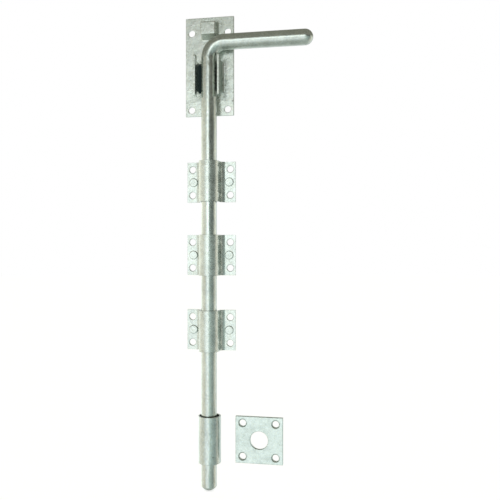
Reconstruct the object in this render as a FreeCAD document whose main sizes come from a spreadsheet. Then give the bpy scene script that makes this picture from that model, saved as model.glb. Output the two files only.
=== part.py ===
# Cane bolt: a bent round bar that drops through a latch plate and three strap
# guides screwed to a gate, with a ground sleeve and a strike plate for its foot.
#
# Frame: millimetres, +Z up, X to the right, the gate's face is the plane Y = 0
# and every front looks towards -Y. The origin is the middle of the latch
# plate's four screws, on the gate's face. The bar's axis is parallel to Z.
import FreeCAD, Part

import math
import os

import Sketcher

V = FreeCAD.Vector

DIMENSIONS = [
    # bent bar
    ("bar_dia", 15.9),
    ("bar_offset", 11.5),        # bar axis in front of the gate's face
    ("bar_bend", 15.8),          # bend radius of the bar's centre line
    ("handle_level", 26.3),      # handle axis above the origin
    ("handle_reach", 105.8),     # bar axis to the end of the handle
    ("bar_drop", 453.7),         # handle axis to the tip
    ("tip_round", 9.5),          # spherical radius of the tip
    ("bar_side", 1.8),           # bar axis to the right of the latch plate's middle
    # latch plate
    ("latch_width", 50.8),
    ("latch_tall", 101.6),
    ("latch_rise", 4.5),         # plate's middle above the screws' middle
    ("latch_sheet", 2.2),
    ("latch_pitch_x", 38.1),
    ("latch_pitch_z", 79.4),
    ("ear_gap", 22.6),           # between the inner faces of the two ears
    ("ear_side", 0.6),           # middle between the ears to the right of the plate's middle
    ("ear_reach", 19.5),         # ear's front edge in front of the gate's face
    ("ear_level", -7.4),         # ear's middle height
    ("ear_head_tall", 42.2),
    ("ear_head_deep", 7.0),
    ("ear_neck_tall", 30.4),
    ("ear_corner", 2.0),
    ("ear_bend", 2.0),           # inside radius where an ear leaves the plate
    ("boss_side", 0.5),          # boss's middle to the right of the plate's middle
    ("boss_foot_width", 17.7),   # where the boss's walls meet the gate's face
    ("boss_foot_tall", 18.3),
    ("boss_foot_level", 40.75),
    ("boss_face_width", 15.3),
    ("boss_face_tall", 12.6),
    ("boss_face_level", 41.8),
    ("boss_reach", 12.5),
    ("boss_wall", 2.4),
    ("boss_edge", 1.2),          # rounding of the boss's front edges
    ("boss_fillet", 1.0),        # rounding where the boss leaves the plate
    # strap guides
    ("strap_width", 50.8),
    ("strap_tall", 41.3),
    ("strap_sheet", 2.2),
    ("strap_crown", 10.55),      # outside radius of the part over the bar
    ("strap_flare", 5.2),        # outside radius between flange and wall
    ("strap_pitch_x", 39.8),
    ("strap_pitch_z", 26.4),
    ("button_pitch", 37.8),
    ("button_dia", 8.8),
    ("button_proud", 1.2),
    ("button_edge", 0.7),
    ("button_rim", 1.2),         # sheet left round the dimple behind a button
    ("upper_level", -114.3),
    ("middle_level", -189.1),
    ("lower_level", -265.8),
    # ground sleeve
    ("sleeve_dia", 23.0),
    ("sleeve_wall", 1.5),
    ("sleeve_long", 47.5),
    ("sleeve_rim", 0.4),         # rounding of both ends, inside and outside
    ("sleeve_side", 2.5),        # sleeve's middle to the right of the origin
    ("sleeve_level", -375.3),
    # strike plate
    ("strike_width", 48.8),
    ("strike_tall", 47.6),
    ("strike_sheet", 3.0),
    ("strike_pitch", 34.0),
    ("strike_bore", 18.3),
    ("strike_bore_rim", 0.6),
    ("strike_countersink", 1.0),
    ("strike_side", 51.7),       # middle of the plate to the right of the origin
    ("strike_level", -376.9),
    # shared
    ("screw_dia", 6.8),
    ("screw_rim", 0.6),          # rounded-over rim of a punched screw hole
    ("sheared_edge", 0.5),       # rounded edge of a sheared sheet
]

doc = FreeCAD.newDocument("cane_bolt")
sheet = doc.addObject("Spreadsheet::Sheet", "dims")
for row, (alias, value) in enumerate(DIMENSIONS, start=1):
    sheet.set(f"A{row}", alias)
    sheet.set(f"B{row}", str(value))
    sheet.setAlias(f"B{row}", alias)
doc.recompute()


def dim(alias):
    """The sheet's value of one driving dimension."""
    return float(sheet.getPropertyByName(alias))


# ---------------------------------------------------------------- sketch tools

def new_body(label):
    body = doc.addObject("PartDesign::Body", label)
    body.Label = label
    return body


def place(body, x="0", y="0", z="0"):
    for axis, expression in (("x", x), ("y", y), ("z", z)):
        body.setExpression(f".Placement.Base.{axis}", f"({expression}) * 1 mm")


def origin_plane(body, role):
    return [f for f in body.Origin.OriginFeatures if f.Role == role][0]


def sketch_on(body, name, role):
    """A sketch on one of the body's origin planes. On XZ_Plane its normal is -Y."""
    sketch = body.newObject("Sketcher::SketchObject", name)
    sketch.AttachmentSupport = [(origin_plane(body, role), "")]
    sketch.MapMode = "FlatFace"
    return sketch


def drive(sketch, constraint, expression):
    """Add a dimension to the sketch and bind it to the sheet."""
    number = sketch.addConstraint(constraint)
    sketch.setExpression(f"Constraints[{number}]", expression)


def number_of(sketch, expression):
    value = sketch.evalExpression(expression)
    return float(getattr(value, "Value", value))


def pin_point(sketch, geometry, vertex, x, y):
    """Hold one point of a sketch at x, y, given as expressions of the sheet."""
    if x == "0":
        sketch.addConstraint(Sketcher.Constraint("PointOnObject", geometry, vertex, -2))
    else:
        value = number_of(sketch, x)
        drive(sketch, Sketcher.Constraint("DistanceX", -1, 1, geometry, vertex, value), x)
    if y == "0":
        sketch.addConstraint(Sketcher.Constraint("PointOnObject", geometry, vertex, -1))
    else:
        value = number_of(sketch, y)
        drive(sketch, Sketcher.Constraint("DistanceY", -1, 1, geometry, vertex, value), y)


def circle(sketch, x, y, diameter):
    centre = V(number_of(sketch, x), number_of(sketch, y), 0)
    across = number_of(sketch, diameter)
    geometry = sketch.addGeometry(Part.Circle(centre, V(0, 0, 1), across / 2), False)
    pin_point(sketch, geometry, 3, x, y)
    drive(sketch, Sketcher.Constraint("Diameter", geometry, across), diameter)


def polygon(sketch, corners):
    """A closed outline of straight lines through corners given as expressions."""
    points = [V(number_of(sketch, x), number_of(sketch, y), 0) for x, y in corners]
    first = sketch.GeometryCount
    count = len(points)
    for i in range(count):
        sketch.addGeometry(Part.LineSegment(points[i], points[(i + 1) % count]), False)
    for i in range(count):
        follower = first + (i + 1) % count
        sketch.addConstraint(Sketcher.Constraint("Coincident", first + i, 2, follower, 1))
    for i, (x, y) in enumerate(corners):
        pin_point(sketch, first + i, 1, x, y)


def rectangle(sketch, width, height, x="0", y="0"):
    left, right = f"{x} - ({width}) / 2", f"{x} + ({width}) / 2"
    low, high = f"{y} - ({height}) / 2", f"{y} + ({height}) / 2"
    polygon(sketch, [(left, low), (right, low), (right, high), (left, high)])


# --------------------------------------------------------------- feature tools

def pad(body, sketch, length, both_ways=False):
    feature = body.newObject("PartDesign::Pad", sketch.Name + "_pad")
    feature.Profile = sketch
    feature.setExpression("Length", f"({length}) * 1 mm")
    if both_ways:
        feature.SideType = "Symmetric"
    sketch.Visibility = False
    doc.recompute()
    return feature


def cut(body, sketch, length=None):
    """Cut the profile right through, or forwards from the gate's face to a depth."""
    before = body.Shape.Volume
    feature = body.newObject("PartDesign::Pocket", sketch.Name + "_cut")
    feature.Profile = sketch
    if length is None:
        feature.SideType = "Symmetric"
        feature.setExpression("Length", "dims.latch_tall * 2 mm")
    else:
        feature.Reversed = True
        feature.setExpression("Length", f"({length}) * 1 mm")
    doc.recompute()
    if not body.Shape.Volume < before - 1:
        raise RuntimeError(f"{feature.Name} cut nothing")
    return feature


def round_edges(body, picked, radius, kind="PartDesign::Fillet"):
    """Fillet or chamfer the edges of the body's tip that a test picks."""
    base = body.Tip
    names = [f"Edge{i}" for i, edge in enumerate(base.Shape.Edges, 1) if picked(edge)]
    if not names:
        raise RuntimeError(f"no edge to round on {body.Label}")
    feature = body.newObject(kind, f"{body.Name}_edges")
    feature.Base = (base, names)
    size = "Radius" if kind.endswith("Fillet") else "Size"
    feature.setExpression(size, f"({radius}) * 1 mm")
    doc.recompute()
    return feature


def lies_at(edge, **where):
    """True if the whole edge lies on each plane named, such as y=-3."""
    box = edge.BoundBox
    spans = {"x": (box.XMin, box.XMax), "y": (box.YMin, box.YMax), "z": (box.ZMin, box.ZMax)}
    return all(
        abs(spans[axis][0] - level) < 0.01 and abs(spans[axis][1] - level) < 0.01
        for axis, level in where.items()
    )


def is_hole_rim(edge, level, diameter):
    """True for a full circle of one diameter in the plane Y = level."""
    box = edge.BoundBox
    across = abs(box.XLength - diameter) < 0.01 and abs(box.ZLength - diameter) < 0.01
    return across and edge.isClosed() and lies_at(edge, y=level)


def revolve(body, sketch, axis):
    feature = body.newObject("PartDesign::Revolution", sketch.Name + "_turned")
    feature.Profile = sketch
    feature.ReferenceAxis = (sketch, [axis])
    feature.Angle = 360
    doc.recompute()
    return feature


def mirror(body, feature, plane):
    """Repeat a feature on the other side of a plane."""
    mirrored = body.newObject("PartDesign::Mirrored", feature.Name + "_mirror")
    mirrored.Originals = [feature]
    mirrored.MirrorPlane = (plane, [""])
    body.Tip = mirrored
    doc.recompute()
    return mirrored


def arc(sketch, centre, radius, start, end):
    """An arc counter-clockwise from one angle to another, in degrees; its radius is driven."""
    middle = V(number_of(sketch, centre[0]), number_of(sketch, centre[1]), 0)
    size = number_of(sketch, radius)
    whole = Part.Circle(middle, V(0, 0, 1), size)
    piece = Part.ArcOfCircle(whole, math.radians(start), math.radians(end))
    geometry = sketch.addGeometry(piece, False)
    drive(sketch, Sketcher.Constraint("Radius", geometry, size), radius)
    return geometry


def line(sketch, start, end):
    return sketch.addGeometry(Part.LineSegment(V(*start, 0), V(*end, 0)), False)


def joined(sketch, *pairs):
    for first, first_end, second, second_end in pairs:
        sketch.addConstraint(
            Sketcher.Constraint("Coincident", first, first_end, second, second_end)
        )


# ------------------------------------------------------------------- bent bar

def make_bar():
    """One round bar: a long leg, a right-angle bend and the handle, both ends domed.

    The body's own origin is where the leg's axis meets the handle's.
    """
    body = new_body("bent_bar")
    drop, bend, reach = dim("bar_drop"), dim("bar_bend"), dim("handle_reach")
    radius, cap = dim("bar_dia") / 2, dim("tip_round")
    cap_tall = cap - math.sqrt(cap**2 - radius**2)

    route = sketch_on(body, "bar_route", "XZ_Plane")
    leg = line(route, (0, -drop + cap_tall), (0, -bend))
    turn = arc(route, ("dims.bar_bend", "-dims.bar_bend"), "dims.bar_bend", 90, 180)
    arm = line(route, (bend, 0), (reach - radius, 0))
    joined(route, (leg, 2, turn, 2), (turn, 1, arm, 1))
    pin_point(route, turn, 3, "dims.bar_bend", "-dims.bar_bend")
    route.addConstraint(Sketcher.Constraint("Horizontal", turn, 3, turn, 2))
    route.addConstraint(Sketcher.Constraint("Vertical", turn, 3, turn, 1))
    route.addConstraint(Sketcher.Constraint("PointOnObject", leg, 1, -2))
    route.addConstraint(Sketcher.Constraint("PointOnObject", arm, 2, -1))
    foot = "-(dims.bar_drop - dims.tip_round + sqrt(dims.tip_round^2 - dims.bar_dia^2 / 4))"
    drive(route, Sketcher.Constraint("DistanceY", -1, 1, leg, 1, -drop + cap_tall), foot)
    arm_end = "dims.handle_reach - dims.bar_dia / 2"
    drive(route, Sketcher.Constraint("DistanceX", -1, 1, arm, 2, reach - radius), arm_end)

    section = sketch_on(body, "bar_section", "XY_Plane")
    section.setExpression(".AttachmentOffset.Base.z", f"({foot}) * 1 mm")
    circle(section, "0", "0", "dims.bar_dia")
    doc.recompute()
    bar = body.newObject("PartDesign::AdditivePipe", "bar_pipe")
    bar.Profile = section
    bar.Spine = (route, [""])
    doc.recompute()

    dome = sketch_on(body, "handle_dome", "XZ_Plane")
    quarter = arc(dome, (arm_end, "0"), "dims.bar_dia / 2", 0, 90)
    base = line(dome, (reach - radius, 0), (reach, 0))
    side = line(dome, (reach - radius, radius), (reach - radius, 0))
    joined(dome, (quarter, 2, side, 1), (side, 2, base, 1), (base, 2, quarter, 1))
    joined(dome, (quarter, 3, base, 1))
    dome.addConstraint(Sketcher.Constraint("Vertical", side))
    dome.addConstraint(Sketcher.Constraint("Horizontal", base))
    pin_point(dome, base, 1, arm_end, "0")
    revolve(body, dome, "H_Axis")

    tip = sketch_on(body, "tip_dome", "XZ_Plane")
    foot_level = -drop + cap_tall
    centre = ("0", "dims.tip_round - dims.bar_drop")
    half_angle = math.degrees(math.asin(radius / cap))
    cap_arc = arc(tip, centre, "dims.tip_round", -90, -90 + half_angle)
    across = line(tip, (radius, foot_level), (0, foot_level))
    down = line(tip, (0, foot_level), (0, -drop))
    joined(tip, (cap_arc, 2, across, 1), (across, 2, down, 1), (down, 2, cap_arc, 1))
    pin_point(tip, cap_arc, 3, *centre)
    tip.addConstraint(Sketcher.Constraint("Horizontal", across))
    tip.addConstraint(Sketcher.Constraint("PointOnObject", across, 2, -2))
    tip.addConstraint(Sketcher.Constraint("PointOnObject", down, 2, -2))
    drive(tip, Sketcher.Constraint("DistanceY", -1, 1, across, 2, foot_level), foot)
    revolve(body, tip, "V_Axis")
    place(body, x="dims.bar_side", y="-dims.bar_offset", z="dims.handle_level")


# ---------------------------------------------------------------- latch plate

def make_latch_plate():
    """The plate, with two T-shaped ears bent forwards from the sides of its window,
    and a boss pressed forwards over the bar's bend."""
    body = new_body("latch_plate")
    front = -dim("latch_sheet")
    middle = "dims.latch_rise"

    blank = sketch_on(body, "latch_blank", "XZ_Plane")
    rectangle(blank, "dims.latch_width", "dims.latch_tall", y=middle)
    pad(body, blank, "dims.latch_sheet")
    low = dim("latch_rise") - dim("latch_tall") / 2
    high = dim("latch_rise") + dim("latch_tall") / 2
    side = dim("latch_width") / 2
    round_edges(
        body,
        lambda e: lies_at(e, y=front)
        or lies_at(e, x=-side) and not lies_at(e, y=0)
        or lies_at(e, x=side) and not lies_at(e, y=0),
        "dims.sheared_edge",
    )

    boss_block(body, "latch_boss", "PartDesign::AdditiveLoft", "dims.boss_reach", "0")
    reach = -dim("boss_reach")
    round_edges(
        body, lambda e: lies_at(e, y=reach) or rises_between(e, front, reach), "dims.boss_edge"
    )
    round_edges(body, lambda e: is_boss_foot(e, front), "dims.boss_fillet")
    depth = "dims.boss_reach - dims.boss_wall"
    boss_block(body, "latch_hollow", "PartDesign::SubtractiveLoft", depth, "dims.boss_wall")

    window = sketch_on(body, "latch_window", "XZ_Plane")
    between_bends = "dims.ear_gap + 2 * (dims.latch_sheet + dims.ear_bend)"
    rectangle(window, between_bends, "dims.ear_neck_tall", "dims.ear_side", "dims.ear_level")
    cut(body, window)
    heads = sketch_on(body, "latch_window_heads", "XZ_Plane")
    middle = "dims.ear_side", "dims.ear_level"
    rectangle(heads, "dims.ear_head_deep * 2", "dims.ear_head_tall", *middle)
    cut(body, heads, "dims.latch_sheet + 0.01")
    make_ears(body)

    screws = sketch_on(body, "latch_screws", "XZ_Plane")
    for x in ("-dims.latch_pitch_x / 2", "dims.latch_pitch_x / 2"):
        for z in ("-dims.latch_pitch_z / 2", "dims.latch_pitch_z / 2"):
            circle(screws, x, z, "dims.screw_dia")
    cut(body, screws)
    screw = dim("screw_dia")
    round_edges(body, lambda e: is_hole_rim(e, front, screw), "dims.screw_rim")


def boss_block(body, name, kind, depth, inset):
    """The boss's block from the gate's face forwards, or the hollow behind it: a
    rectangle at the gate's face and one at a depth, each made smaller by an inset."""
    foot = sketch_on(body, name + "_foot", "XZ_Plane")
    face = sketch_on(body, name + "_face", "XZ_Plane")
    face.setExpression(".AttachmentOffset.Base.z", f"({depth}) * 1 mm")
    for sketch, end in ((foot, "foot"), (face, "face")):
        width = f"dims.boss_{end}_width - 2 * {inset}"
        tall = f"dims.boss_{end}_tall - 2 * {inset}"
        rectangle(sketch, width, tall, "dims.boss_side", f"dims.boss_{end}_level")
        sketch.Visibility = False
    block = body.newObject(kind, name)
    block.Profile = foot
    block.Sections = [face]
    block.Ruled = True
    doc.recompute()


def make_ears(body):
    """Both ears: a neck that turns forwards out of the sheet, and a taller head."""
    gap = dim("ear_side") + dim("ear_gap") / 2
    sheet_thick, bend = dim("latch_sheet"), dim("ear_bend")
    reach, turn = dim("ear_reach"), -dim("latch_sheet") - dim("ear_bend")
    root = gap - turn

    neck = sketch_on(body, "ear_neck", "XY_Plane")
    neck.setExpression(".AttachmentOffset.Base.z", "dims.ear_level * 1 mm")
    middle = ("dims.ear_side + dims.ear_gap / 2 + dims.latch_sheet + dims.ear_bend",
              "-dims.latch_sheet - dims.ear_bend")
    outside = arc(neck, middle, "dims.latch_sheet + dims.ear_bend", 90, 180)
    inside = arc(neck, middle, "dims.ear_bend", 90, 180)
    near = line(neck, (gap, turn), (gap, -reach))
    tip = line(neck, (gap, -reach), (gap + sheet_thick, -reach))
    far = line(neck, (gap + sheet_thick, -reach), (gap + sheet_thick, turn))
    end = line(neck, (root, -sheet_thick), (root, 0))
    joined(neck, (outside, 2, near, 1), (near, 2, tip, 1), (tip, 2, far, 1))
    joined(neck, (far, 2, inside, 2), (inside, 1, end, 1), (end, 2, outside, 1))
    joined(neck, (outside, 3, inside, 3))
    pin_point(neck, outside, 3, *middle)
    for curve in (outside, inside):
        neck.addConstraint(Sketcher.Constraint("Horizontal", curve, 3, curve, 2))
        neck.addConstraint(Sketcher.Constraint("Vertical", curve, 3, curve, 1))
    neck.addConstraint(Sketcher.Constraint("Horizontal", tip))
    depth = Sketcher.Constraint("DistanceY", -1, 1, tip, 1, -reach)
    drive(neck, depth, "-dims.ear_reach")
    between = body.newObject("PartDesign::Plane", "between_ears")
    between.AttachmentSupport = [(origin_plane(body, "YZ_Plane"), "")]
    between.MapMode = "FlatFace"
    between.setExpression(".AttachmentOffset.Base.z", "dims.ear_side * 1 mm")
    mirror(body, pad(body, neck, "dims.ear_neck_tall", both_ways=True), between)

    head = sketch_on(body, "ear_head", "YZ_Plane")
    inner_face = "(dims.ear_side + dims.ear_gap / 2) * 1 mm"
    head.setExpression(".AttachmentOffset.Base.z", inner_face)
    half_deep = "dims.ear_head_deep / 2 - dims.ear_reach"
    rectangle(head, "dims.ear_head_deep", "dims.ear_head_tall", half_deep, "dims.ear_level")
    mirror(body, pad(body, head, "dims.latch_sheet"), between)
    round_edges(body, is_ear_corner, "dims.ear_corner")
    round_edges(body, is_ear_front, "dims.sheared_edge")


def rises_between(edge, back, front):
    """True for the boss's four slanting corner edges."""
    box = edge.BoundBox
    on_boss = box.ZMin > dim("boss_foot_level") - dim("boss_foot_tall")
    inside = max(abs(box.XMin), abs(box.XMax)) < dim("boss_foot_width")
    return on_boss and inside and abs(box.YMin - front) < 0.01 and abs(box.YMax - back) < 0.01


def is_boss_foot(edge, front):
    box = edge.BoundBox
    near = abs(box.ZMin - dim("boss_foot_level")) < dim("boss_foot_tall")
    inside = max(abs(box.XMin), abs(box.XMax)) < dim("boss_foot_width") * 0.65
    return near and inside and lies_at(edge, y=front)


def is_ear_corner(edge):
    """The four outer corners of the two ears' heads, each an edge along X."""
    return lies_at(edge, y=-dim("ear_reach")) and edge.BoundBox.ZLength < 0.01


def is_ear_front(edge):
    """The long upright edges of the two ears' front faces."""
    return lies_at(edge, y=-dim("ear_reach")) and edge.BoundBox.ZLength > dim("ear_head_tall") / 2


# --------------------------------------------------------------- strap guides

def make_strap(label, level):
    """A strap bent over the bar, with two flanges, four screw holes and two
    pressed buttons. Only the level differs between the three."""
    body = new_body(label)
    sheet_thick, crown, flare = dim("strap_sheet"), dim("strap_crown"), dim("strap_flare")
    offset, half = dim("bar_offset"), dim("strap_width") / 2
    foot, flange = crown + flare, -sheet_thick

    half_strap = sketch_on(body, label + "_half", "XY_Plane")
    top = ("0", "-dims.bar_offset")
    bottom = ("dims.strap_crown + dims.strap_flare", "-dims.strap_sheet - dims.strap_flare")
    outer = arc(half_strap, top, "dims.strap_crown", -90, 0)
    inner = arc(half_strap, top, "dims.strap_crown - dims.strap_sheet", -90, 0)
    near = arc(half_strap, bottom, "dims.strap_flare", 90, 180)
    far = arc(half_strap, bottom, "dims.strap_flare + dims.strap_sheet", 90, 180)
    wall_end = flange - flare
    wall = line(half_strap, (crown, -offset), (crown, wall_end))
    inner_wall = line(
        half_strap, (crown - sheet_thick, wall_end), (crown - sheet_thick, -offset)
    )
    face = line(half_strap, (foot, flange), (half, flange))
    edge = line(half_strap, (half, flange), (half, 0))
    back = line(half_strap, (half, 0), (foot, 0))
    middle = line(half_strap, (0, -offset - crown + sheet_thick), (0, -offset - crown))
    joined(half_strap, (middle, 2, outer, 1), (outer, 2, wall, 1), (wall, 2, near, 2))
    joined(half_strap, (near, 1, face, 1), (face, 2, edge, 1), (edge, 2, back, 1))
    joined(half_strap, (back, 2, far, 1), (far, 2, inner_wall, 1))
    joined(half_strap, (inner_wall, 2, inner, 2), (inner, 1, middle, 1))
    joined(half_strap, (outer, 3, inner, 3), (near, 3, far, 3))
    pin_point(half_strap, outer, 3, *top)
    pin_point(half_strap, near, 3, *bottom)
    for curve, end, direction in (
        (outer, 2, "Horizontal"), (inner, 2, "Horizontal"),
        (near, 2, "Horizontal"), (far, 2, "Horizontal"),
        (near, 1, "Vertical"), (far, 1, "Vertical"),
    ):
        half_strap.addConstraint(Sketcher.Constraint(direction, curve, 3, curve, end))
    half_strap.addConstraint(Sketcher.Constraint("PointOnObject", outer, 1, -2))
    half_strap.addConstraint(Sketcher.Constraint("PointOnObject", inner, 1, -2))
    half_strap.addConstraint(Sketcher.Constraint("Horizontal", face))
    half_strap.addConstraint(Sketcher.Constraint("Vertical", edge))
    half_strap.addConstraint(Sketcher.Constraint("Horizontal", back))
    width = "dims.strap_width / 2"
    drive(half_strap, Sketcher.Constraint("DistanceX", -1, 1, edge, 1, half), width)
    whole = origin_plane(body, "YZ_Plane")
    mirror(body, pad(body, half_strap, "dims.strap_tall", both_ways=True), whole)

    buttons = sketch_on(body, label + "_buttons", "XZ_Plane")
    dimples = sketch_on(body, label + "_dimples", "XZ_Plane")
    screws = sketch_on(body, label + "_screws", "XZ_Plane")
    for sign in ("-", ""):
        circle(buttons, f"{sign}dims.button_pitch / 2", "0", "dims.button_dia")
        circle(dimples, f"{sign}dims.button_pitch / 2", "0", "dims.button_dia - 2 * dims.button_rim")
        for other in ("-", ""):
            x, z = f"{sign}dims.strap_pitch_x / 2", f"{other}dims.strap_pitch_z / 2"
            circle(screws, x, z, "dims.screw_dia")
    pad(body, buttons, "dims.strap_sheet + dims.button_proud")
    button_face = flange - dim("button_proud")
    across = dim("button_dia")
    round_edges(body, lambda e: is_hole_rim(e, button_face, across), "dims.button_edge")
    cut(body, dimples, "dims.button_proud")
    cut(body, screws)
    screw = dim("screw_dia")
    round_edges(body, lambda e: is_hole_rim(e, flange, screw), "dims.screw_rim")
    place(body, x="dims.bar_side", z=f"dims.{level}")


# ------------------------------------------------- ground sleeve, strike plate

def make_sleeve():
    """A plain length of tube, set in the ground under the bar."""
    outer = doc.addObject("Part::Cylinder", "sleeve_outside")
    inner = doc.addObject("Part::Cylinder", "sleeve_bore")
    outer.setExpression("Radius", "dims.sleeve_dia / 2 * 1 mm")
    inner.setExpression("Radius", "(dims.sleeve_dia / 2 - dims.sleeve_wall) * 1 mm")
    for cylinder in (outer, inner):
        cylinder.setExpression("Height", "dims.sleeve_long * 1 mm")
    tube = doc.addObject("Part::Cut", "sleeve_tube")
    tube.Base, tube.Tool = outer, inner
    doc.recompute()
    rim = dim("sleeve_rim")
    rims = [
        (i, rim, rim)
        for i, edge in enumerate(tube.Shape.Edges, 1)
        if isinstance(edge.Curve, Part.Circle)
    ]
    sleeve = doc.addObject("Part::Fillet", "ground_sleeve")
    sleeve.Base = tube
    sleeve.Edges = rims
    sleeve.Label = "ground_sleeve"
    bottom = "dims.sleeve_level - dims.sleeve_long / 2"
    place(sleeve, x="dims.sleeve_side", y="-dims.bar_offset", z=bottom)


def make_strike_plate():
    """A square plate with a hole for the bar's foot and four screw holes."""
    body = new_body("strike_plate")
    front = -dim("strike_sheet")
    blank = sketch_on(body, "strike_blank", "XZ_Plane")
    rectangle(blank, "dims.strike_width", "dims.strike_tall")
    pad(body, blank, "dims.strike_sheet")
    round_edges(body, lambda e: not lies_at(e, y=0), "dims.sheared_edge")
    holes = sketch_on(body, "strike_holes", "XZ_Plane")
    circle(holes, "0", "0", "dims.strike_bore")
    for x in ("-dims.strike_pitch / 2", "dims.strike_pitch / 2"):
        for z in ("-dims.strike_pitch / 2", "dims.strike_pitch / 2"):
            circle(holes, x, z, "dims.screw_dia")
    cut(body, holes)
    screw, bore = dim("screw_dia"), dim("strike_bore")
    countersink = "dims.strike_countersink"
    round_edges(body, lambda e: is_hole_rim(e, front, screw), countersink, "PartDesign::Chamfer")
    round_edges(body, lambda e: is_hole_rim(e, front, bore), "dims.strike_bore_rim")
    place(body, x="dims.strike_side", z="dims.strike_level")


# ------------------------------------------------------------ build and write

make_bar()
make_latch_plate()
for label, level in (
    ("upper_guide", "upper_level"),
    ("middle_guide", "middle_level"),
    ("lower_guide", "lower_level"),
):
    make_strap(label, level)
make_sleeve()
make_strike_plate()
doc.recompute()

PIECES = (
    "bent_bar",
    "latch_plate",
    "upper_guide",
    "middle_guide",
    "lower_guide",
    "ground_sleeve",
    "strike_plate",
)

failed = [i.Name for i in doc.Objects if "Invalid" in i.State or "Error" in i.State]
if failed:
    raise RuntimeError(f"failed to recompute: {failed}")
os.makedirs("parts", exist_ok=True)
for name in PIECES:
    piece = doc.getObjectsByLabel(name)[0]
    if piece.Shape.isNull() or not piece.Shape.isValid() or len(piece.Shape.Solids) != 1:
        raise RuntimeError(f"{name} is not one valid solid")
    piece.Shape.exportStep(f"parts/{name}.step")
    box = piece.Shape.optimalBoundingBox()
    print(f"{name}: {box.XLength:.1f} x {box.YLength:.1f} x {box.ZLength:.1f} mm")
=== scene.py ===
"""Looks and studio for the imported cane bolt: galvanised steel under soft studio light.

Units are metres, in the CAD frame: +Z up, the gate's face is Y = 0 and fronts look
towards -Y. Angles called azimuth are measured from -Y towards +X, in degrees.
"""

import math
from types import SimpleNamespace

import bpy
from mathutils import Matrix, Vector


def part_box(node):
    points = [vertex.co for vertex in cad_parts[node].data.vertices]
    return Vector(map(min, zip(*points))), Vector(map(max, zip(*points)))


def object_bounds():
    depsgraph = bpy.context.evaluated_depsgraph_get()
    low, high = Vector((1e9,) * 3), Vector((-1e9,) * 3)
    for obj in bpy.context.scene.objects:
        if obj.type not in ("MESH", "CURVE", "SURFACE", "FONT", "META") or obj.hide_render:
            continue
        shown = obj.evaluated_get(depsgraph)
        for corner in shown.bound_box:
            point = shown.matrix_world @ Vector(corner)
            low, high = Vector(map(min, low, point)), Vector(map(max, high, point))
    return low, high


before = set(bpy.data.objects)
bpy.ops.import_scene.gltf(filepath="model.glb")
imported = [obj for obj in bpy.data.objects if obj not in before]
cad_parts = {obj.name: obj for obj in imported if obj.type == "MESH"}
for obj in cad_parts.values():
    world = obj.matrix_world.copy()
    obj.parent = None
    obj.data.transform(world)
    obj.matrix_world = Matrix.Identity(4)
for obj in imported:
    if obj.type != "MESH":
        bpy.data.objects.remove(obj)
cad_low, cad_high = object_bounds()

# camera: level, a little to the right of straight in front
CAMERA_AZIMUTH = 11.2
CAMERA_DISTANCE = 0.694
CAMERA_TARGET = Vector((0.0419, 0.0, -0.1839))
CAMERA_LENS = 49.0
SENSOR_WIDTH = 36.0
CAMERA_CLIP = (0.01, 50.0)

# floor: a pale disc just under the lowest piece, which also glows a little
FLOOR_LEVEL = cad_low.z
FLOOR_GAP = 0.0002
FLOOR_RADIUS = 6.0
FLOOR_CORNERS = 96
FLOOR_TONE = (0.8, 0.8, 0.8, 1)
FLOOR_GLOW = 0.8

# painted shade: a dark, faintly glowing card behind the latch plate's window, for the shade seen
# through it
FLAG_HALF_WIDE = 0.0158
FLAG_HALF_TALL = 0.0153
FLAG_LEVEL = -0.0074
FLAG_SIDE = 0.0006
FLAG_BEHIND = 0.0005
SHADE_CARD_TONE = (0.6, 1.0, 0.95, 1)
SHADE_CARD_GLOW = 0.022

WHITE = (1, 1, 1, 1)


def heading(azimuth):
    """The level unit vector that points at an azimuth, in degrees."""
    angle = math.radians(azimuth)
    return Vector((math.sin(angle), -math.cos(angle), 0.0))


def scaled(tone, factor, limit=math.inf):
    """Each part of a colour times a factor, held to a limit."""
    return tuple(min(part * factor, limit) for part in tone)


# ------------------------------------------------------------------- node tools

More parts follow.
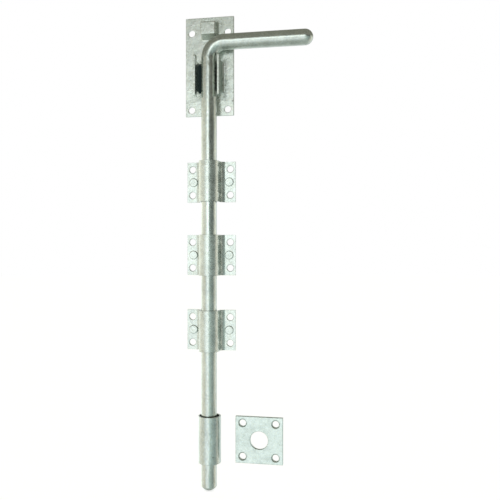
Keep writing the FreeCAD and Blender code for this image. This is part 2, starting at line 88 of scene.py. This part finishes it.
class Graph:
    """Short spellings for building a node tree."""

    def __init__(self, tree):
        self.tree = tree
        tree.nodes.clear()

    def node(self, kind, settings=None, **inputs):
        """Add a node; settings are its properties, inputs its sockets' values or links."""
        made = self.tree.nodes.new(kind)
        for name, value in (settings or {}).items():
            setattr(made, name, value)
        for name, value in inputs.items():
            self.feed(made.inputs[name.replace("_", " ")], value)
        return made

    def feed(self, socket, value):
        """Link a socket, or set its value."""
        if isinstance(value, bpy.types.NodeSocket):
            self.tree.links.new(value, socket)
        else:
            socket.default_value = value

    def math(self, operation, *values):
        made = self.node("ShaderNodeMath", {"operation": operation})
        for socket, value in zip(made.inputs, values):
            self.feed(socket, value)
        return made.outputs[0]

    def vector_math(self, operation, first, second):
        made = self.node("ShaderNodeVectorMath", {"operation": operation})
        self.feed(made.inputs[0], first)
        self.feed(made.inputs[1], second)
        return made.outputs

    def stretch(self, value, start, end, settings=None):
        """0 where the value is at the start, 1 where it is at the end, and held past them."""
        made = self.node("ShaderNodeMapRange", settings, Value=value, From_Min=start, From_Max=end)
        return made.outputs["Result"]

    def ramp(self, value, stops, mode="EASE"):
        """A colour ramp; stops are (position, grey or colour)."""
        made = self.node("ShaderNodeValToRGB", Fac=value)
        made.color_ramp.interpolation = mode
        points = made.color_ramp.elements
        while len(points) < len(stops):
            points.new(1.0)
        for point, (position, tone) in zip(points, stops):
            point.position = position
            point.color = (*tone, 1) if isinstance(tone, tuple) else (tone, tone, tone, 1)
        return made.outputs["Color"]

    def noise(self, place, scale, detail, roughness, distortion=0.0):
        made = self.node(
            "ShaderNodeTexNoise", Vector=place, Scale=scale, Detail=detail,
            Roughness=roughness, Distortion=distortion,
        )
        return made.outputs["Fac"]

    def cells(self, place, scale):
        """Random cells: Distance from a cell's middle, and a Color of its own."""
        made = self.node("ShaderNodeTexVoronoi", Vector=place, Scale=scale, Randomness=1.0)
        return made.outputs

    def channel(self, colour, number):
        return self.node("ShaderNodeSeparateColor", Color=colour).outputs[number]

    def axes(self, place):
        return self.node("ShaderNodeSeparateXYZ", Vector=place).outputs

    def mix(self, factor, first, second, blend="MIX"):
        made = self.node("ShaderNodeMix", {"data_type": "RGBA", "blend_type": blend})
        for number, value in ((0, factor), (6, first), (7, second)):
            self.feed(made.inputs[number], value)
        return made.outputs[2]

    def join(self, kind, first, second, **inputs):
        """Mix or add two shaders, which go into the node's last two sockets."""
        made = self.node(kind, **inputs)
        self.feed(made.inputs[-2], first.outputs[0])
        self.feed(made.inputs[-1], second.outputs[0])
        return made


def new_material(name):
    """A material of that name, and the graph to build it in."""
    material = bpy.data.materials.new(name)
    material.use_nodes = True
    return material, Graph(material.node_tree)


# -------------------------------------------------------------------- materials

# how fine each layer of the zinc's pattern is, in cells per metre
CLOUD_SCALE, PATCH_SCALE, PEEL_SCALE, GRAIN_SCALE = 85, 240, 520, 1150
SPANGLE_SCALE, TARNISH_SCALE, PIT_SCALE = 420, 640, 95

DULL, BRIGHT = 0.76, 1.16            # the pattern's darkest and palest zinc, times its tone
STREAK_STRETCH = 0.75                # how much full streaks slow the pattern along Z
TARNISH_WARM, TARNISH_COOL = (1.0, 0.975, 0.86), (0.965, 1.0, 1.0)
FADE_WANDER = 0.03                   # how far the clouds move a fade's height, in metres
METAL_SHARE = 0.92                   # the rest is the dull white bloom that zinc grows

EDGE_WIDTH = 0.0006
EDGE_TONE, EDGE_SHARE = 0.42, 0.65   # darker edges, partly darker zinc and partly painted shade: their tone, and how much of it shows
EDGE_TURN = (0.995, 0.93)            # cosines between the true and the softened normal
CREVICE_SHADE_REACH = 0.0035               # how far the painted crevice shade reaches out of a crevice
CREVICE_SHADE_STOPS = [(0.26, 0.14), (0.64, 1.0)]   # how open a place is, and the brightness of the painted shade there

PIT_EDGE = (0.035, 0.06)             # a pit's solid and its outer radius, in cells
PIT_RARITY = 0.86                    # the share of cells that have no pit
PIT_TONE = 0.15
SCAB_EDGE = (1.7, 1.2)               # a scab's outer and solid reach, in its radii

# the outer side of the latch plate's right ear is rougher than the rest, and darkened with painted
# shade
PAINTED_SHADE_TONE = (0.50, 0.55, 0.53, 1)
DULL_ROUGHNESS = 0.3
RIGHT_EAR_OUTSIDE = ((0.0130, -0.0190, -0.0290), (0.0146, -0.0050, 0.0140))


def zinc_pattern(graph, streaks):
    """The layers that colour, gloss and relief share, each from 0 to 1, and their place."""
    place = graph.node("ShaderNodeTexCoord").outputs["Object"]
    slowed = (1, 1, 1 - STREAK_STRETCH * streaks)
    drawn = graph.node("ShaderNodeMapping", Vector=place, Scale=slowed).outputs["Vector"]
    return SimpleNamespace(
        place=place,
        clouds=graph.noise(drawn, CLOUD_SCALE, detail=5, roughness=0.62, distortion=0.6),
        patches=graph.noise(drawn, PATCH_SCALE, detail=4, roughness=0.6),
        peel=graph.noise(place, PEEL_SCALE, detail=3, roughness=0.6),
        grain=graph.noise(place, GRAIN_SCALE, detail=3, roughness=0.65),
        tarnish=graph.noise(drawn, TARNISH_SCALE, detail=3, roughness=0.7),
        crystal=graph.channel(graph.cells(place, SPANGLE_SCALE)["Color"], 0),
    )


def zinc_colour(graph, pattern, tone):
    """Grey clouds under patches, spangle, peel, grain and a warm and cool tarnish."""
    dull, bright = scaled(tone, DULL), scaled(tone, BRIGHT, limit=1.0)
    layers = (
        (0.38, pattern.patches, [(0.3, dull), (0.7, bright)], "MIX"),
        (0.14, pattern.crystal, [(0.0, dull), (1.0, bright)], "MIX"),
        (0.30, pattern.peel, [(0.32, 0.72), (0.68, 1.0)], "MULTIPLY"),
        (0.34, pattern.grain, [(0.3, 0.55), (0.68, 1.0)], "MULTIPLY"),
        (0.55, pattern.tarnish, [(0.36, TARNISH_WARM), (0.60, TARNISH_COOL)], "MULTIPLY"),
    )
    colour = graph.ramp(pattern.clouds, [(0.30, dull), (0.52, tone), (0.72, bright)])
    for share, layer, stops, blend in layers:
        colour = graph.mix(share, colour, graph.ramp(layer, stops), blend)
    return colour


def faded(graph, pattern, colour, low, high, share):
    """The colour, darkened by a share on the way up. The clouds move the start and the
    end of it, and bring both about half of FADE_WANDER lower."""
    height = graph.axes(pattern.place)["Z"]
    wander = graph.math("MULTIPLY_ADD", pattern.clouds, FADE_WANDER, height)
    rise = graph.stretch(wander, low, high)
    shade = graph.ramp(rise, [(0.0, 1.0), (1.0, 1.0 - share)], "LINEAR")
    return graph.mix(1.0, colour, shade, "MULTIPLY")


def painted_crevice_shade(graph, colour):
    """The colour darkened with painted shade where surfaces meet: the less open a place, the
    darker.
    """
    shelter = graph.node("ShaderNodeAmbientOcclusion", {"samples": 8}, Distance=CREVICE_SHADE_REACH)
    painted_shade = graph.ramp(shelter.outputs["AO"], CREVICE_SHADE_STOPS)
    return graph.mix(1.0, colour, painted_shade, "MULTIPLY")


def edge_of(graph, pattern):
    """1 on the rounded edges of a sheet or a tube, broken up by the patches, and 0 on flat
    and wide curved faces."""
    soft = graph.node("ShaderNodeBevel", {"samples": 6}, Radius=EDGE_WIDTH).outputs["Normal"]
    plain = graph.node("ShaderNodeNewGeometry").outputs["Normal"]
    turn = graph.vector_math("DOT_PRODUCT", soft, plain)["Value"]
    broken = graph.ramp(pattern.patches, [(0.40, 1.0), (0.64, 0.4)])
    return graph.math("MULTIPLY", graph.stretch(turn, *EDGE_TURN), broken)


def scab_of(graph, pattern, x, z, radius):
    """1 inside a ragged round spot seen along Y, 0 outside."""
    flat = graph.vector_math("MULTIPLY", pattern.place, (1, 0, 1))["Vector"]
    reach = graph.vector_math("DISTANCE", flat, (x, 0, z))["Value"]
    ragged = graph.math("MULTIPLY_ADD", pattern.patches, radius, reach)
    return graph.stretch(ragged, *scaled(SCAB_EDGE, radius))


def pits_of(graph, pattern, scabs):
    """1 in the rare small pits and in the scabs, 0 elsewhere."""
    cells = graph.cells(pattern.place, PIT_SCALE)
    middle, rim = PIT_EDGE
    pit = graph.ramp(cells["Distance"], [(middle, 1.0), (rim, 0.0)])
    rare = graph.math("GREATER_THAN", graph.channel(cells["Color"], 1), PIT_RARITY)
    pit = graph.math("MULTIPLY", pit, rare)
    for scab in scabs:
        pit = graph.math("MAXIMUM", pit, scab_of(graph, pattern, *scab))
    return pit


def inside(graph, place, low, high):
    """1 in the box between two corners, 0 outside it."""
    parts = graph.axes(place)
    share = 1.0
    for axis, least, most in zip("XYZ", low, high):
        above = graph.math("GREATER_THAN", parts[axis], least)
        below = graph.math("LESS_THAN", parts[axis], most)
        share = graph.math("MULTIPLY", graph.math("MULTIPLY", above, below), share)
    return share


def zinc_relief(graph, pattern):
    """Bumps of three sizes, the largest first."""
    layers = (                       # layer, strength, height in metres
        (pattern.clouds, 0.25, 0.0015),
        (pattern.peel, 0.14, 0.0005),
        (pattern.grain, 0.15, 0.0003),
    )
    under = {}
    for layer, strength, height in layers:
        bump = graph.node(
            "ShaderNodeBump", Height=layer, Strength=strength, Distance=height, **under
        )
        under = {"Normal": bump.outputs["Normal"]}
    return under["Normal"]


def galvanised(slot, tone, gloss, streaks=0.0, fade=None, scabs=(), shade_and_rough_box=None):
    """Hot-dip zinc: grey clouds, faint spangle, a fine grain, pits, darker and rougher edges that
    are partly painted shade, and painted shade in crevices.

    tone is the metal's own colour, gloss its middle roughness, and streaks how far the clouds are
    drawn out along Z, from 0 to 1. fade is (low Z, high Z, share): the colour darkens by that
    share on the way up. scabs are dark drops at (x, z, radius). Inside the last argument's box,
    which is two corners, the zinc is rougher and darkened with painted shade.
    """
    material, graph = new_material(slot + "_look")
    pattern = zinc_pattern(graph, streaks)
    edge = edge_of(graph, pattern)
    pit = pits_of(graph, pattern, scabs)
    rougher = [(pattern.crystal, 0.05), (edge, 0.12), (pit, 0.3)]

    colour = zinc_colour(graph, pattern, tone)
    if fade:
        colour = faded(graph, pattern, colour, *fade)
    # painted shade on the right ear's outer side, which is also made rougher
    if shade_and_rough_box:
        shade_and_rough_mask = inside(graph, pattern.place, *shade_and_rough_box)
        painted_shade = graph.mix(1.0, colour, PAINTED_SHADE_TONE, "MULTIPLY")
        colour = graph.mix(shade_and_rough_mask, colour, painted_shade)
        rougher.append((shade_and_rough_mask, DULL_ROUGHNESS))
    # painted shade in crevices, under things and between parts
    colour = painted_crevice_shade(graph, colour)
    # edges darkened: partly darker zinc, partly painted shade along them
    edge_zinc_and_shade = graph.math("MULTIPLY", edge, EDGE_SHARE)
    colour = graph.mix(edge_zinc_and_shade, colour, (*scaled(tone, EDGE_TONE), 1))
    colour = graph.mix(pit, colour, (*scaled(tone, PIT_TONE), 1))

    rough = graph.math("MULTIPLY_ADD", pattern.patches, 0.16, gloss - 0.08)
    for layer, share in rougher:
        rough = graph.math("MULTIPLY_ADD", layer, share, rough)

    shader = graph.node(
        "ShaderNodeBsdfPrincipled", Base_Color=colour, Metallic=METAL_SHARE,
        Roughness=rough, Normal=zinc_relief(graph, pattern),
    )
    graph.node("ShaderNodeOutputMaterial", Surface=shader.outputs[0])
    return material


# each material slot, the nodes that have it, and its zinc
FINISHES = (
    ("bar_zinc", ["bent_bar"], {
        "tone": (0.78, 0.83, 0.80), "gloss": 0.155, "streaks": 0.8,
        "fade": (0.004, 0.022, 0.10),
    }),
    ("plate_zinc", ["latch_plate"], {
        "tone": (0.90, 0.97, 0.92), "gloss": 0.27,
        "fade": (-0.055, 0.065, 0.08),
        "scabs": ((0.0243, -0.0315, 0.0007), (-0.0096, -0.0394, 0.0004)),
        # painted shade and more roughness on the right ear's outer side
        "shade_and_rough_box": RIGHT_EAR_OUTSIDE,
    }),
    ("guide_zinc", ["upper_guide", "middle_guide", "lower_guide"], {
        "tone": (0.82, 0.88, 0.845), "gloss": 0.24,
    }),
    ("sleeve_zinc", ["ground_sleeve"], {
        "tone": (0.775, 0.84, 0.825), "gloss": 0.17, "streaks": 0.6,
    }),
    ("strike_zinc", ["strike_plate"], {
        "tone": (0.80, 0.895, 0.865), "gloss": 0.28,
    }),
)


def finish_nodes():
    for slot, nodes, zinc in FINISHES:
        material = galvanised(slot, **zinc)
        for name in nodes:
            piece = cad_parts[name]
            piece.data.materials.clear()
            piece.data.materials.append(material)


# ----------------------------------------------------------------------- studio

# The studio as the steel sees it. A wide soft lamp stands a little to the left of the
# camera, pale walls to the left and behind, and a dark wall to the right of the camera.
# Each row gives brightness and tint by azimuth, for one height above or below level.
WARM, COOL, GREEN = (1.0, 0.98, 0.86), (0.945, 1.0, 0.99), (0.82, 1.0, 0.935)
OLIVE, MOSS = (1.0, 1.0, 0.82), (0.89, 1.0, 0.91)
UPPER_HEIGHT, LOWER_HEIGHT = 9, -7           # degrees above level
UPPER_ROW = [
    (-180, 0.72, COOL), (-162, 1.05, COOL), (-145, 1.60, COOL), (-120, 1.55, WARM),
    (-97, 1.28, WARM), (-75, 1.06, WARM), (-42, 1.02, WARM), (-25, 1.12, COOL),
    (-12, 2.35, COOL), (6, 2.45, COOL), (17, 0.30, GREEN), (32, 0.04, GREEN),
    (66, 0.03, GREEN), (82, 0.14, GREEN), (98, 0.82, WARM), (122, 1.25, WARM),
    (150, 1.00, COOL), (180, 0.72, COOL),
]
LOWER_ROW = [
    (-180, 0.70, COOL), (-145, 1.45, COOL), (-95, 1.02, WARM), (-70, 0.85, WARM),
    (-48, 0.82, WARM), (-32, 0.92, COOL), (-17, 1.18, COOL), (3, 1.25, COOL),
    (14, 0.82, GREEN), (28, 0.62, GREEN), (44, 0.50, GREEN), (60, 0.38, GREEN),
    (76, 0.36, GREEN), (94, 0.56, WARM), (115, 0.90, WARM), (148, 1.00, COOL),
    (180, 0.70, COOL),
]
CEILING = (0.25, OLIVE, 2, 24)               # brightness, tint, fades in between heights
GROUND = (0.47, MOSS, 20, 85)                # the same, downwards


def make_floor():
    bpy.ops.mesh.primitive_circle_add(
        vertices=FLOOR_CORNERS, radius=FLOOR_RADIUS, fill_type="NGON",
        location=(0, 0, FLOOR_LEVEL - FLOOR_GAP),
    )
    floor = bpy.context.object
    floor.name = "studio_floor"
    floor.visible_glossy = False
    material, graph = new_material("studio_floor_look")
    matte = graph.node("ShaderNodeBsdfDiffuse", Color=FLOOR_TONE)
    glow = graph.node("ShaderNodeEmission", Color=WHITE, Strength=FLOOR_GLOW)
    both = graph.join("ShaderNodeAddShader", matte, glow)
    graph.node("ShaderNodeOutputMaterial", Surface=both.outputs[0])
    floor.data.materials.append(material)


def wall_row(graph, share, stops):
    """The light all round at one height, where share is 0 at azimuth -180 and 1 at 180."""
    tones = [((azimuth + 180) / 360, scaled(tint, glow)) for azimuth, glow, tint in stops]
    return graph.ramp(share, tones, "LINEAR")


def rise_between(graph, height, low, high):
    """0 below the low elevation and 1 above the high one, smooth between them."""
    sines = (math.sin(math.radians(angle)) for angle in (low, high))
    return graph.stretch(height, *sines, {"interpolation_type": "SMOOTHSTEP"})


def make_room():
    """The world: the studio to the metal, and plain white to the camera."""
    world = bpy.data.worlds.new("studio")
    bpy.context.scene.world = world
    world.use_nodes = True
    graph = Graph(world.node_tree)
    way = graph.axes(graph.node("ShaderNodeTexCoord").outputs["Generated"])
    forwards = graph.math("MULTIPLY", way["Y"], -1.0)
    azimuth = graph.math("ARCTAN2", way["X"], forwards)
    share = graph.math("MULTIPLY_ADD", azimuth, 0.5 / math.pi, 0.5)

    upper = rise_between(graph, way["Z"], LOWER_HEIGHT, UPPER_HEIGHT)
    room = graph.mix(upper, wall_row(graph, share, LOWER_ROW), wall_row(graph, share, UPPER_ROW))
    for (glow, tint, low, high), side in ((CEILING, 1), (GROUND, -1)):
        height = graph.math("MULTIPLY", way["Z"], side)
        tone = (*scaled(tint, glow), 1)
        room = graph.mix(rise_between(graph, height, low, high), room, tone)

    lit = graph.node("ShaderNodeBackground", Color=room, Strength=1.0)
    plain = graph.node("ShaderNodeBackground", Color=WHITE, Strength=1.0)
    seen = graph.node("ShaderNodeLightPath").outputs["Is Camera Ray"]
    both = graph.join("ShaderNodeMixShader", lit, plain, Fac=seen)
    graph.node("ShaderNodeOutputWorld", Surface=both.outputs[0])


def make_window_shade_card():
    """A dark, faintly glowing card just behind the latch plate's window: painted shade for the
    shade seen through the window, and a painted dark reflection. It is clear to a ray from behind,
    so it doesn't cover the window there, but the bar and the ears' roots look nearly black through
    the window, because its front is what they mirror."""
    low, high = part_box("latch_plate")
    middle = (low.x + high.x) / 2 + FLAG_SIDE
    corners = [
        (middle + x * FLAG_HALF_WIDE, FLAG_BEHIND, FLAG_LEVEL + z * FLAG_HALF_TALL)
        for x, z in ((-1, -1), (1, -1), (1, 1), (-1, 1))
    ]
    mesh = bpy.data.meshes.new("window_shade_card")
    mesh.from_pydata(corners, [], [(0, 1, 2, 3)])
    flag = bpy.data.objects.new("window_shade_card", mesh)
    bpy.context.scene.collection.objects.link(flag)
    material, graph = new_material("window_shade_card_look")
    # painted shade: the card's dim glow
    dark = graph.node("ShaderNodeEmission", Color=SHADE_CARD_TONE, Strength=SHADE_CARD_GLOW)
    clear = graph.node("ShaderNodeBsdfTransparent")
    behind = graph.node("ShaderNodeNewGeometry").outputs["Backfacing"]
    both = graph.join("ShaderNodeMixShader", dark, clear, Fac=behind)
    graph.node("ShaderNodeOutputMaterial", Surface=both.outputs[0])
    mesh.materials.append(material)


def make_camera():
    data = bpy.data.cameras.new("photo_view")
    data.lens = CAMERA_LENS
    data.sensor_width = SENSOR_WIDTH
    data.clip_start, data.clip_end = CAMERA_CLIP
    camera = bpy.data.objects.new("photo_view", data)
    bpy.context.scene.collection.objects.link(camera)
    towards_camera = heading(CAMERA_AZIMUTH)
    camera.location = CAMERA_TARGET + towards_camera * CAMERA_DISTANCE
    camera.rotation_mode = "QUATERNION"
    camera.rotation_quaternion = towards_camera.to_track_quat("Z", "Y")
    bpy.context.scene.camera = camera


finish_nodes()
make_floor()
make_room()
make_window_shade_card()
make_camera()
bpy.context.scene.view_settings.view_transform = "Standard"
